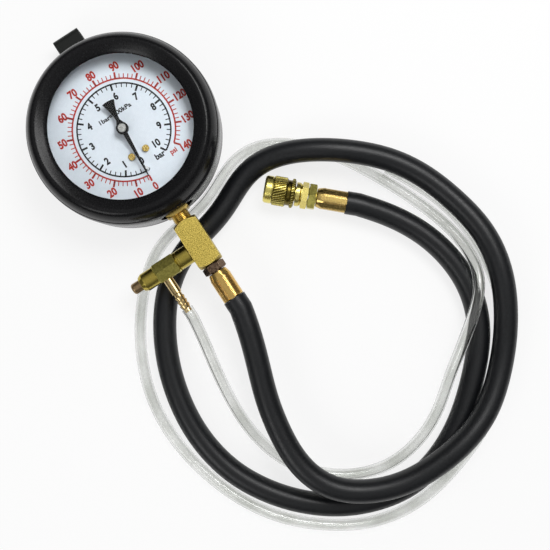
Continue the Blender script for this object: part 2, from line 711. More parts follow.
def make_boot():
    boot = turned("rubber_boot", boot_profile(), ROUND_SEGMENTS)
    for number, height in enumerate(BOOT_GROOVE_HEIGHTS):
        groove = rod(
            f"boot_groove_{number}", BOOT_RADIUS + PAST, height - BOOT_GROOVE_WIDTH / 2,
            height + BOOT_GROOVE_WIDTH / 2, ROUND_SEGMENTS, CUTTERS,
            groove_floor(height),
        )
        cut(boot, groove)
    stem_hole = rod(
        "boot_stem_hole", SOCKET_FLATS / math.sqrt(2) + BOOT_STEM_CLEARANCE, 0,
        BOOT_RADIUS + PAST, 20, CUTTERS,
    )
    stem_hole.matrix_world = socket_frame(0)
    cut(boot, stem_hole)
    inside = BOOT_BORE_RADIUS - PAST
    behind = hook_inner_face() + HOOK_THICKNESS + GAP
    outside = BOOT_RADIUS + PAST
    slot_low = HOOK_TOP - HOOK_THICKNESS - GAP
    recess_low = HOOK_TOP - HOOK_FOOT - GAP
    slot = side_plate(
        "boot_hook_slot",
        [
            (inside, recess_low), (behind, recess_low), (behind, slot_low), (outside, slot_low),
            (outside, HOOK_TOP + GAP), (inside, HOOK_TOP + GAP),
        ],
        HOOK_WIDTH + 2 * GAP, CUTTERS,
    )
    cut(boot, slot)
    return finish(boot, RUBBER, 40)


def groove_floor(height):
    """Outer radius of the boot at a height, less the depth of a groove."""
    upper = max(0.0, (height - BOOT_BULGE_HEIGHT) / BOOT_BULGE_DROP)
    bulge = (BOOT_RADIUS - BOOT_CREST_RADIUS) * (1 - math.sqrt(1 - upper * upper))
    return BOOT_RADIUS - bulge - BOOT_GROOVE_DEPTH


def hook_inner_face():
    """The hook's foot stands just clear of the case wall."""
    return CASE_RADIUS + GAP


def socket_frame(y):
    """A frame on the stem's axis whose Z points along -Y."""
    return Matrix.Translation((0, y, STEM_HEIGHT)) @ Matrix.Rotation(math.radians(90), 4, "X")


def make_case():
    case = turned(
        "gauge_case",
        [
            (0, CASE_BOTTOM + CASE_WALL),
            (CASE_RADIUS - CASE_BEND, CASE_BOTTOM + CASE_WALL),
            (CASE_RADIUS - CASE_WALL, CASE_BOTTOM + CASE_BEND),
            (CASE_RADIUS - CASE_WALL, CASE_TOP),
            (CASE_RADIUS, CASE_TOP),
            (CASE_RADIUS, CASE_BOTTOM + CASE_BEND),
            (CASE_RADIUS - CASE_BEND, CASE_BOTTOM),
            (0, CASE_BOTTOM),
        ],
        ROUND_SEGMENTS,
    )
    hole = rod(
        "case_stem_hole", SOCKET_NECK_RADIUS + GAP, CASE_RADIUS - CASE_WALL - PAST,
        CASE_RADIUS + PAST, 16, CUTTERS,
    )
    hole.matrix_world = socket_frame(0)
    cut(case, hole)
    for number, side in enumerate((-1, 1)):
        screw_hole = rod(
            f"case_screw_hole_{number}", SCREW_SHANK_RADIUS + GAP, CASE_BOTTOM - PAST,
            CASE_BOTTOM + CASE_WALL + PAST, 12, CUTTERS,
        )
        screw_hole.location = (side * CASE_SCREW_X, CASE_SCREW_Y, 0)
        cut(case, screw_hole)
    return finish(case, STEEL)


def make_case_screws():
    """Two pan-head screws through the case's back into the socket."""
    for number, side in enumerate((-1, 1)):
        low = BOOT_POCKET_FLOOR + GAP
        shoulder = low + CASE_SCREW_HEAD_HEIGHT
        screw = turned(
            f"case_screw_{number + 1}",
            [
                (0, SOCKET_BOTTOM + CASE_SCREW_DEPTH),
                (SCREW_SHANK_RADIUS, SOCKET_BOTTOM + CASE_SCREW_DEPTH),
                (SCREW_SHANK_RADIUS, shoulder),
                (SCREW_HEAD_RADIUS, shoulder),
                (SCREW_HEAD_RADIUS - EDGE, low),
                (0, low),
            ],
            SMALL_SEGMENTS,
        )
        screw.location = (side * CASE_SCREW_X, CASE_SCREW_Y, 0)
        finish(screw, STEEL)


def make_bezel_and_lens():
    bezel = turned(
        "bezel_ring",
        [
            (BEZEL_INNER_RADIUS, BEZEL_TOP),
            (BEZEL_RADIUS, BEZEL_TOP),
            (BEZEL_RADIUS, BEZEL_TOP - BEZEL_SKIRT),
            (CASE_RADIUS + GAP, BEZEL_TOP - BEZEL_SKIRT),
            (CASE_RADIUS + GAP, BEZEL_TOP - BEZEL_WALL),
            (BEZEL_INNER_RADIUS, BEZEL_TOP - BEZEL_WALL),
        ],
        ROUND_SEGMENTS,
    )
    finish(bezel, BLACK_STEEL)
    lens = rod("lens", CASE_RADIUS - FIT, LENS_BOTTOM, LENS_TOP, ROUND_SEGMENTS)
    finish(lens, GLASS)


def pan_screw(name, x, y, seat_height, depth, surface):
    """A slotted pan-head screw standing on a face."""
    screw = turned(
        name,
        [
            (0, seat_height + SCREW_HEAD_HEIGHT),
            (SCREW_HEAD_RADIUS - SCREW_HEAD_ROUND, seat_height + SCREW_HEAD_HEIGHT),
            (SCREW_HEAD_RADIUS, seat_height + SCREW_HEAD_ROUND),
            (SCREW_HEAD_RADIUS, seat_height),
            (SCREW_SHANK_RADIUS, seat_height),
            (SCREW_SHANK_RADIUS, seat_height - depth),
            (0, seat_height - depth),
        ],
        SMALL_SEGMENTS,
    )
    screw.location = (x, y, 0)
    top = seat_height + SCREW_HEAD_HEIGHT
    reach = SCREW_HEAD_RADIUS + PAST
    slot = box(
        name + "_slot", (-reach, -SCREW_SLOT_WIDTH / 2, top - SCREW_SLOT_DEPTH),
        (reach, SCREW_SLOT_WIDTH / 2, top + PAST), CUTTERS,
    )
    slot.location = (x, y, 0)
    cut(screw, slot)
    return finish(screw, surface)


def make_dial():
    holes = [
        circle(DIAL_HOLE_RADIUS),
        circle(SCREW_SHANK_RADIUS + GAP, (DIAL_SCREW_X, DIAL_SCREW_Y), 12),
        circle(SCREW_SHANK_RADIUS + GAP, (-DIAL_SCREW_X, DIAL_SCREW_Y), 12),
        circle(STOP_PIN_RADIUS + GAP, (stop_pin_x(), STOP_PIN_Y), 12),
    ]
    disc = circle(DIAL_RADIUS, count=ROUND_SEGMENTS)
    dial = plate("dial_plate", [disc] + holes, DIAL_BACK, DIAL_THICKNESS)
    finish(dial, DIAL_WHITE)
    post_top = DIAL_BACK - GAP
    post_bottom = FRONT_PLATE_TOP + GAP
    for number, side in enumerate((1, -1)):
        place = (side * DIAL_SCREW_X, DIAL_SCREW_Y)
        pan_screw(
            f"dial_screw_{number + 1}", *place, DIAL_FACE + GAP,
            DIAL_FACE - FRONT_PLATE_BOTTOM, BRIGHT_BRASS,
        )
        post = rod(
            f"dial_post_{number + 1}", POST_RADIUS, post_bottom, post_top, SMALL_SEGMENTS,
            bore=SCREW_SHANK_RADIUS + GAP,
        )
        post.location = (*place, 0)
        finish(post, BRASS)
    pin_foot = DIAL_BACK - GAP - STOP_PIN_FLANGE
    pin = turned(
        "stop_pin",
        [
            (0, DIAL_FACE + STOP_PIN_HEIGHT),
            (STOP_PIN_RADIUS, DIAL_FACE + STOP_PIN_HEIGHT),
            (STOP_PIN_RADIUS, DIAL_BACK - GAP),
            (STOP_PIN_RADIUS + STOP_PIN_FLANGE, DIAL_BACK - GAP),
            (STOP_PIN_RADIUS + STOP_PIN_FLANGE, pin_foot),
            (0, pin_foot),
        ],
        12,
    )
    pin.location = (stop_pin_x(), STOP_PIN_Y, 0)
    finish(pin, STEEL)


def pointer_half_width(distance):
    """Half the blade's width at a distance out from the axis."""
    taper = (POINTER_TIP_HALF_WIDTH - POINTER_ROOT_HALF_WIDTH) / POINTER_LENGTH
    return POINTER_ROOT_HALF_WIDTH + taper * distance


def stop_pin_x():
    """The pin stands beside the blade, on the side away from the scale."""
    lean = STOP_PIN_Y * math.tan(math.radians(POINTER_REST_DEG))
    reach = pointer_half_width(abs(STOP_PIN_Y)) + STOP_PIN_RADIUS + FIT
    return lean + reach / math.cos(math.radians(POINTER_REST_DEG))


def pointer_outline():
    """Blade along -Y, and a flared tail along +Y."""
    blade_root = 2.6 * MM
    half = [
        (0, -POINTER_LENGTH),
        (pointer_half_width(POINTER_LENGTH), -POINTER_LENGTH + 0.8 * MM),
        (pointer_half_width(blade_root), -blade_root),
    ]
    for angle_deg in (-35, 0, 35):
        angle = math.radians(angle_deg)
        half.append((HUB_RADIUS * math.cos(angle), HUB_RADIUS * math.sin(angle)))
    half += [
        (POINTER_NECK_HALF_WIDTH, POINTER_TAIL - POINTER_FAN),
        (POINTER_FAN_HALF_WIDTH, POINTER_TAIL - POINTER_FAN_CORNER),
        (POINTER_FAN_END_HALF_WIDTH, POINTER_TAIL),
    ]
    return half + [(-x, y) for x, y in reversed(half) if x > 0]


def make_pointer(axis):
    bottom = DIAL_FACE + POINTER_LIFT
    hole = circle(ARBOR_RADIUS + FIT, count=12)
    blade = plate("pointer", [pointer_outline(), hole], bottom, POINTER_THICKNESS)
    blade.rotation_euler.z = -math.radians(POINTER_REST_DEG)
    seat(finish(blade, POINTER_BLACK), axis)
    hub_bottom = bottom + POINTER_THICKNESS + FIT
    hub_top = LENS_BOTTOM - HUB_TOP_CLEARANCE
    bore_top = hub_bottom + HUB_BORE_DEPTH
    ring_radius = HUB_RADIUS - RUN
    hub = turned(
        "pointer_hub",
        [
            (0, hub_top),
            (HUB_CAP_RADIUS - EDGE, hub_top),
            (HUB_CAP_RADIUS, hub_top - EDGE),
            (HUB_CAP_RADIUS, hub_bottom + HUB_RING_HEIGHT),
            (ring_radius, hub_bottom + HUB_RING_HEIGHT),
            (ring_radius, hub_bottom),
            (ARBOR_RADIUS + FIT, hub_bottom),
            (ARBOR_RADIUS + FIT, bore_top),
            (0, bore_top),
        ],
        16,
    )
    seat(finish(hub, GREY_CAP), axis)
    return bore_top


def involute_tooth(teeth, addendum, dedendum):
    """Half of one tooth about angle zero, as (radius, angle) from the root to the tip."""
    pitch = MODULE * teeth / 2
    base = pitch * math.cos(math.radians(PRESSURE_ANGLE_DEG))
    tip = pitch + addendum
    root = pitch - dedendum
    half_at_pitch = math.pi / (2 * teeth) - BACKLASH / (2 * pitch)
    inv = math.tan(math.radians(PRESSURE_ANGLE_DEG)) - math.radians(PRESSURE_ANGLE_DEG)
    side = []
    start = max(base, root)
    for step in range(3):
        radius = start + (tip - start) * step / 2
        roll = math.sqrt(max(0.0, (radius / base) ** 2 - 1))
        side.append((radius, half_at_pitch + inv - (roll - math.atan(roll))))
    if root < base:
        side.insert(0, (root, side[0][1]))
    return side


def tooth_points(centre_angle, half_tooth):
    rising = [(r, centre_angle - a) for r, a in half_tooth]
    falling = [(r, centre_angle + a) for r, a in reversed(half_tooth)]
    return [(r * math.cos(a), r * math.sin(a)) for r, a in rising + falling]


def make_arbor(axis, top):
    """The pointer's arbor with its pinion, one turned and cut piece."""
    shaft = rod("pinion_arbor", ARBOR_RADIUS, BACK_PLATE_BOTTOM + GAP, top - GAP, 16)
    outline = []
    tooth = involute_tooth(PINION_TEETH, 0.9 * MODULE, 1.1 * MODULE)
    for number in range(PINION_TEETH):
        outline += tooth_points(2 * math.pi * number / PINION_TEETH, tooth)
    middle = GEAR_BOTTOM + GEAR_THICKNESS / 2
    pinion = plate("pinion_teeth", [outline], middle - PINION_LENGTH / 2, PINION_LENGTH, CUTTERS)
    pinion.rotation_euler.z = math.radians(SECTOR_PIVOT_DEG)
    join(shaft, pinion)
    half = COLLET_THICKNESS / 2
    collet = rod(
        "collet", COLLET_RADIUS, hairspring_height() - half, hairspring_height() + half, 16, CUTTERS
    )
    join(shaft, collet)
    seat(finish(shaft, BRASS), axis)


def hairspring_height():
    return GEAR_BOTTOM + GEAR_THICKNESS + HAIRSPRING_LIFT


def sector_outline():
    """Fan with teeth at its rim, tapering to the pivot boss and out to the tail."""
    pitch_step = 2 * math.pi / SECTOR_FULL_TEETH
    mesh_angle = math.radians(SECTOR_PIVOT_DEG + 180)
    tooth = involute_tooth(SECTOR_FULL_TEETH, 0.8 * MODULE, 1.15 * MODULE)
    last = mesh_angle + 1.5 * pitch_step
    rim = []
    for number in range(SECTOR_CUT_TEETH):
        rim += tooth_points(last - (SECTOR_CUT_TEETH - 1 - number) * pitch_step, tooth)
    first = last - (SECTOR_CUT_TEETH - 1) * pitch_step
    rim_inner = MODULE * SECTOR_FULL_TEETH / 2 - 1.15 * MODULE
    boss = SECTOR_BOSS_RADIUS
    tail_angle = math.radians(TAIL_REST_DEG)
    edge = pitch_step * 0.9
    points = [polar(rim_inner, first - edge)] + rim + [polar(rim_inner, last + edge)]
    points.append(polar(rim_inner - SECTOR_RIM_DEPTH, last + edge * 0.6))
    points.append(polar(boss, last + math.radians(20)))
    left = tail_angle + 2 * math.pi - math.radians(60)
    start = last + math.radians(45)
    for step in range(4):
        points.append(polar(boss, start + (left - start) * step / 3))
    tip_x, tip_y = polar(TAIL_LENGTH, tail_angle)
    for angle_deg in (-90, -45, 0, 45, 90):
        x, y = polar(TAIL_END_RADIUS, tail_angle + math.radians(angle_deg))
        points.append((tip_x + x, tip_y + y))
    right = tail_angle + math.radians(60)
    for step in range(3):
        points.append(polar(boss, right + (first - math.radians(35) - right) * step / 2))
    points.append(polar(boss, first - math.radians(15)))
    points.append(polar(rim_inner - SECTOR_RIM_DEPTH, first - edge * 0.6))
    return points


def polar(radius, angle):
    return (radius * math.cos(angle), radius * math.sin(angle))


def make_sector(axis):
    tail = polar(TAIL_LENGTH, math.radians(TAIL_REST_DEG))
    gear = plate(
        "sector_gear",
        [sector_outline(), circle(LINK_PIN_RADIUS + RUN, tail, 12)],
        GEAR_BOTTOM, GEAR_THICKNESS,
    )
    shaft = rod(
        "sector_shaft", ARBOR_RADIUS, BACK_PLATE_BOTTOM + GAP, FRONT_PLATE_TOP - GAP, 16, CUTTERS
    )
    join(gear, shaft)
    shaft.parent = gear
    shaft.location.z = -(GEAR_BOTTOM + GEAR_THICKNESS / 2)
    seat(finish(gear, BRASS), axis)


def make_link(axis):
    """Link bar with its sector pin riveted in and an open eye at the tube's tip."""
    far = polar(LINK_LENGTH, math.radians(LINK_DEG))
    side = math.radians(LINK_DEG)
    outline = []
    for angle_deg in range(30, 331, 30):
        outline.append(polar(LINK_ROOT_RADIUS, side + math.radians(angle_deg)))
    for angle_deg in range(-150, 151, 25):
        x, y = polar(LINK_EYE_RADIUS, side + math.radians(angle_deg))
        outline.append((far[0] + x, far[1] + y))
    bottom = GEAR_BOTTOM + GEAR_THICKNESS + GAP
    eye = circle(LINK_PIN_RADIUS + EYE_PLAY, far, 16)
    bar = plate("link_bar", [outline, eye], bottom, LINK_THICKNESS)
    pin = turned(
        "link_pin",
        [
            (0, bottom + LINK_THICKNESS + EDGE),
            (LINK_PIN_RADIUS + EDGE, bottom + LINK_THICKNESS + EDGE),
            (LINK_PIN_RADIUS + EDGE, bottom + LINK_THICKNESS / 2),
            (LINK_PIN_RADIUS, bottom + LINK_THICKNESS / 2),
            (LINK_PIN_RADIUS, GEAR_BOTTOM - GAP),
            (0, GEAR_BOTTOM - GAP),
        ],
        12, CUTTERS,
    )
    join(bar, pin)
    pin.parent = bar
    pin.location.z = -(bottom + LINK_THICKNESS / 2)
    seat(finish(bar, BRIGHT_BRASS), axis)


def hull_outline(centres, radius):
    """The rounded outline of discs held in a rubber band."""
    cloud = []
    for centre in centres:
        cloud += circle(radius, centre, 16)
    cloud = sorted(cloud)

    def half_hull(points):
        chain = []
        for point in points:
            while len(chain) > 1 and turn_of(chain[-2], chain[-1], point) <= 1e-12:
                chain.pop()
            chain.append(point)
        return chain[:-1]

    return half_hull(cloud) + half_hull(cloud[::-1])


def turn_of(a, b, c):
    return (b[0] - a[0]) * (c[1] - a[1]) - (b[1] - a[1]) * (c[0] - a[0])


def make_movement_plates():
    bearing = ARBOR_RADIUS + RUN
    corners = list(PILLARS) + [SECTOR_PIVOT]
    bearings = [circle(bearing, place, SMALL_SEGMENTS) for place in ((0, 0), SECTOR_PIVOT)]
    screws = [(side * CARRIER_SCREW_X, CARRIER_SCREW_Y) for side in (-1, 1)]
    screw_holes = [circle(SCREW_SHANK_RADIUS + GAP, place, 12) for place in screws]
    neck = PILLAR_RADIUS - PILLAR_SHOULDER
    rivets = [circle(neck + FIT, place, 12) for place in PILLARS]
    back = plate(
        "movement_back_plate",
        [hull_outline(corners, PLATE_EDGE)] + bearings + screw_holes + rivets,
        BACK_PLATE_BOTTOM, PLATE_THICKNESS,
    )
    finish(back, BRASS)
    posts = [(side * DIAL_SCREW_X, DIAL_SCREW_Y) for side in (-1, 1)]
    post_holes = [circle(SCREW_SHANK_RADIUS + GAP, place, 12) for place in posts]
    front = plate(
        "movement_front_plate",
        [hull_outline(corners + posts, PLATE_EDGE)] + bearings + post_holes + rivets,
        FRONT_PLATE_BOTTOM, PLATE_THICKNESS,
    )
    finish(front, BRASS)
    shoulder_low = BACK_PLATE_BOTTOM + PLATE_THICKNESS + FIT
    shoulder_high = FRONT_PLATE_BOTTOM - FIT
    for number, place in enumerate(PILLARS):
        pillar = turned(
            f"movement_pillar_{number + 1}",
            [
                (0, FRONT_PLATE_TOP),
                (neck, FRONT_PLATE_TOP),
                (neck, shoulder_high),
                (PILLAR_RADIUS, shoulder_high),
                (PILLAR_RADIUS, shoulder_low),
                (neck, shoulder_low),
                (neck, BACK_PLATE_BOTTOM),
                (0, BACK_PLATE_BOTTOM),
            ],
            SMALL_SEGMENTS,
        )
        pillar.location = (*place, 0)
        finish(pillar, BRASS)


def make_movement_screws():
    """Two screws that hold the movement's back plate down on the socket's tongue."""
    for number, side in enumerate((-1, 1)):
        seat_height = BACK_PLATE_BOTTOM + PLATE_THICKNESS + GAP
        top = seat_height + CARRIER_SCREW_HEAD_HEIGHT
        screw = turned(
            f"movement_screw_{number + 1}",
            [
                (0, top),
                (CARRIER_SCREW_HEAD_RADIUS, top),
                (CARRIER_SCREW_HEAD_RADIUS, seat_height),
                (SCREW_SHANK_RADIUS, seat_height),
                (SCREW_SHANK_RADIUS, BACK_PLATE_BOTTOM - CARRIER_THICKNESS),
                (0, BACK_PLATE_BOTTOM - CARRIER_THICKNESS),
            ],
            12,
        )
        screw.location = (side * CARRIER_SCREW_X, CARRIER_SCREW_Y, 0)
        finish(screw, STEEL)


def make_hairspring():
    """Flat spiral from the collet out to a stud beside a pillar."""
    height = hairspring_height()
    count = 8 * HAIRSPRING_TURNS
    end_angle = math.atan2(PILLARS[0][1], PILLARS[0][0])
    points = []
    for step in range(count + 1):
        share = step / count
        angle = end_angle - 2 * math.pi * HAIRSPRING_TURNS * (1 - share)
        radius = HAIRSPRING_INNER + (HAIRSPRING_OUTER - HAIRSPRING_INNER) * share
        points.append((radius * math.cos(angle), radius * math.sin(angle), height))
    reach = math.hypot(*PILLARS[0]) - PILLAR_RADIUS - GAP - HAIRSPRING_WIRE
    points.append((reach * math.cos(end_angle), reach * math.sin(end_angle), height))
    spring = wire("hairspring", points, HAIRSPRING_WIRE, 0)
    finish(spring, STEEL)


def make_bourdon_tube():
    """Flattened tube bent in a C: an oval section swept along an arc, closed by its cap."""
    curve = bpy.data.curves.new("bourdon_section", "CURVE")
    curve.dimensions = "2D"
    spline = curve.splines.new("POLY")
    section = [(TUBE_HALF_WIDTH * x, TUBE_HALF_HEIGHT * y) for x, y in circle(1.0, count=10)]
    spline.points.add(len(section) - 1)
    for point, (x, y) in zip(spline.points, section):
        point.co = (x, y, 0, 1)
    spline.use_cyclic_u = True
    guide = bpy.data.objects.new("bourdon_section", curve)
    CUTTERS.objects.link(as_cutter(guide))
    path = bpy.data.curves.new("bourdon_tube", "CURVE")
    path.dimensions = "3D"
    path.bevel_mode = "OBJECT"
    path.bevel_object = guide
    path.use_fill_caps = True
    path.twist_mode = "Z_UP"
    track = path.splines.new("POLY")
    sweep = 360 - (TUBE_TIP_DEG - TUBE_ROOT_DEG)
    steps = 26
    track.points.add(steps)
    for number, point in enumerate(track.points):
        angle = math.radians(TUBE_ROOT_DEG - sweep * number / steps)
        point.co = (TUBE_RADIUS * math.cos(angle), TUBE_RADIUS * math.sin(angle), tube_height(), 1)
    obj = bpy.data.objects.new("bourdon_tube", path)
    tube = curve_to_mesh(obj, PARTS)
    bpy.data.objects.remove(guide, do_unlink=True)
    finish(tube, COPPER)


def tube_height():
    return GEAR_BOTTOM + GEAR_THICKNESS / 2


def make_tube_tip(axis):
    """Brass cap on the tube's free end, with the lug and pin that drive the link."""
    turn = math.radians(TUBE_TIP_DEG)
    start = turn - math.asin(GAP / TUBE_RADIUS)
    end = turn - math.asin((GAP + TIP_LENGTH) / TUBE_RADIUS)
    inner = TUBE_RADIUS - TUBE_HALF_WIDTH - TIP_CAP_WALL
    outer = TUBE_RADIUS + TUBE_HALF_WIDTH + TIP_CAP_WALL
    outline = [polar(inner, end), polar(outer, end), polar(outer, start), polar(inner, start)]
    half = TUBE_HALF_HEIGHT + EDGE
    cap = plate("tube_tip", [outline], tube_height() - half, 2 * half)
    eye = link_eye_place()
    face = polar(inner + TIP_LUG_RADIUS, end + math.radians(1.5))
    lug_top = GEAR_BOTTOM + GEAR_THICKNESS
    lug_outline = hull_outline([eye, face], TIP_LUG_RADIUS)
    lug = plate("tip_lug", [lug_outline], GEAR_BOTTOM, GEAR_THICKNESS, CUTTERS)
    pin_top = lug_top + GAP + LINK_THICKNESS + EDGE
    pin = rod("tip_pin", LINK_PIN_RADIUS, GEAR_BOTTOM + GEAR_THICKNESS / 2, pin_top, 12, CUTTERS)
    pin.location = (*eye, 0)
    join(cap, lug)
    join(cap, pin)
    for tool in (lug, pin):
        tool.parent = cap
        tool.matrix_parent_inverse = cap.matrix_world.inverted()
    cap.parent = axis
    cap.matrix_parent_inverse = axis.matrix_world.inverted()
    return finish(cap, BRASS)


def link_eye_place():
    """Where the link's open eye lies at rest: out from the sector's tail."""
    tail = polar(TAIL_LENGTH, math.radians(TAIL_REST_DEG))
    far = polar(LINK_LENGTH, math.radians(LINK_DEG))
    return (SECTOR_PIVOT[0] + tail[0] + far[0], SECTOR_PIVOT[1] + tail[1] + far[1])


def make_socket():
    """Gauge socket: inner block and tongue, neck through the case, flats and thread."""
    half = SOCKET_BLOCK_WIDTH / 2
    socket = box(
        "gauge_socket", (-half, SOCKET_BLOCK_BACK, SOCKET_BOTTOM),
        (half, SOCKET_BLOCK_FRONT, SOCKET_BLOCK_TOP),
    )
    tongue_top = BACK_PLATE_BOTTOM - GAP
    tongue = box(
        "socket_tongue",
        (-CARRIER_WIDTH / 2, SOCKET_BLOCK_MIDDLE, tongue_top - CARRIER_THICKNESS),
        (CARRIER_WIDTH / 2, CARRIER_FRONT, tongue_top), CUTTERS,
    )
    stem = turned(
        "socket_stem",
        [
            (0, -SOCKET_THREAD_END),
            (SOCKET_THREAD_RADIUS - SOCKET_THREAD_CHAMFER, -SOCKET_THREAD_END),
            (SOCKET_THREAD_RADIUS, -SOCKET_THREAD_END - SOCKET_THREAD_CHAMFER),
            (SOCKET_THREAD_RADIUS, -SOCKET_FLATS_END + 1.2 * MM),
            (SOCKET_FLATS / 2 - FIT, -SOCKET_FLATS_END - FIT),
            (SOCKET_NECK_RADIUS, -SOCKET_FLATS_START + 0.5 * MM),
            (SOCKET_NECK_RADIUS, -SOCKET_BLOCK_MIDDLE),
            (0, -SOCKET_BLOCK_MIDDLE),
        ],
        20, CUTTERS,
    )
    stem.matrix_world = socket_frame(0)
    flats = box(
        "socket_flats", (-SOCKET_FLATS / 2, SOCKET_FLATS_END, STEM_HEIGHT - SOCKET_FLATS / 2),
        (SOCKET_FLATS / 2, SOCKET_FLATS_START, STEM_HEIGHT + SOCKET_FLATS / 2), CUTTERS,
    )
    join(join(join(socket, stem), flats), tongue)
    bore = rod(
        "socket_bore", SOCKET_BORE_RADIUS, -SOCKET_BLOCK_BACK, -SOCKET_THREAD_END + PAST, 12, CUTTERS
    )
    bore.matrix_world = socket_frame(0)
    cut(socket, bore)
    for number, side in enumerate((-1, 1)):
        case_hole = rod(
            f"socket_case_hole_{number}", SCREW_SHANK_RADIUS + GAP, SOCKET_BOTTOM - PAST,
            SOCKET_BOTTOM + CASE_SCREW_DEPTH + GAP, 12, CUTTERS,
        )
        case_hole.location = (side * CASE_SCREW_X, CASE_SCREW_Y, 0)
        carrier_hole = rod(
            f"socket_carrier_hole_{number}", SCREW_SHANK_RADIUS + GAP,
            tongue_top - CARRIER_THICKNESS - PAST, tongue_top + PAST, 12, CUTTERS,
        )
        carrier_hole.location = (side * CARRIER_SCREW_X, CARRIER_SCREW_Y, 0)
        cut(socket, case_hole)
        cut(socket, carrier_hole)
    finish(socket, BRASS)


def make_block():
    """Square bar with turned ends, drilled for the gauge, the hose and the valve."""
    half = BLOCK_WIDTH / 2
    block = box(
        "manifold_block", (-half, BLOCK_END, STEM_HEIGHT - half),
        (half, BLOCK_START, STEM_HEIGHT + half),
    )
    corner = BLOCK_WIDTH / math.sqrt(2) + FIT
    slope = (corner - BLOCK_FACE_RADIUS) / BLOCK_CHAMFER
    ends = turned(
        "block_ends",
        [
            (0, -BLOCK_END + PAST),
            (BLOCK_FACE_RADIUS - slope * PAST, -BLOCK_END + PAST),
            (corner, -BLOCK_END - BLOCK_CHAMFER),
            (corner, -BLOCK_START + BLOCK_CHAMFER),
            (BLOCK_FACE_RADIUS - slope * PAST, -BLOCK_START - PAST),
            (0, -BLOCK_START - PAST),
        ],
        24, CUTTERS,
    )
    ends.matrix_world = socket_frame(0)
    common(block, ends)
    thread_floor = -BLOCK_START + BLOCK_THREAD_DEPTH
    hose_floor = -BLOCK_END - INSERT_THREAD_LENGTH - INSERT_THREAD_END_CLEARANCE
    passage = stepped_bore(
        "block_passage",
        (
            (SOCKET_THREAD_RADIUS + GAP, -BLOCK_START - PAST, thread_floor),
            (BLOCK_PASSAGE_RADIUS, thread_floor, hose_floor),
            (INSERT_THREAD_RADIUS + GAP, hose_floor, -BLOCK_END + PAST),
        ),
        16,
    )
    passage.matrix_world = socket_frame(0)
    port_floor = half - NIPPLE_SPIGOT_DEPTH - GAP
    port = stepped_bore(
        "valve_port",
        (
            (NIPPLE_BORE_RADIUS, 0, port_floor),
            (NIPPLE_SPIGOT_RADIUS + GAP, port_floor, half + PAST),
        ),
        16,
    )
    port.matrix_world = valve_frame()
    cut(cut(block, passage), port)
    finish(block, BRASS)


def valve_frame():
    """A frame on the valve's axis whose Z points out along -X."""
    return Matrix.Translation((0, VALVE_Y, STEM_HEIGHT)) @ Matrix.Rotation(math.radians(-90), 4, "Y")


def barb_frame():
    """A frame on the drain barb's axis whose Z points along -Y."""
    return Matrix.Translation((BARB_X, 0, STEM_HEIGHT)) @ Matrix.Rotation(math.radians(90), 4, "X")


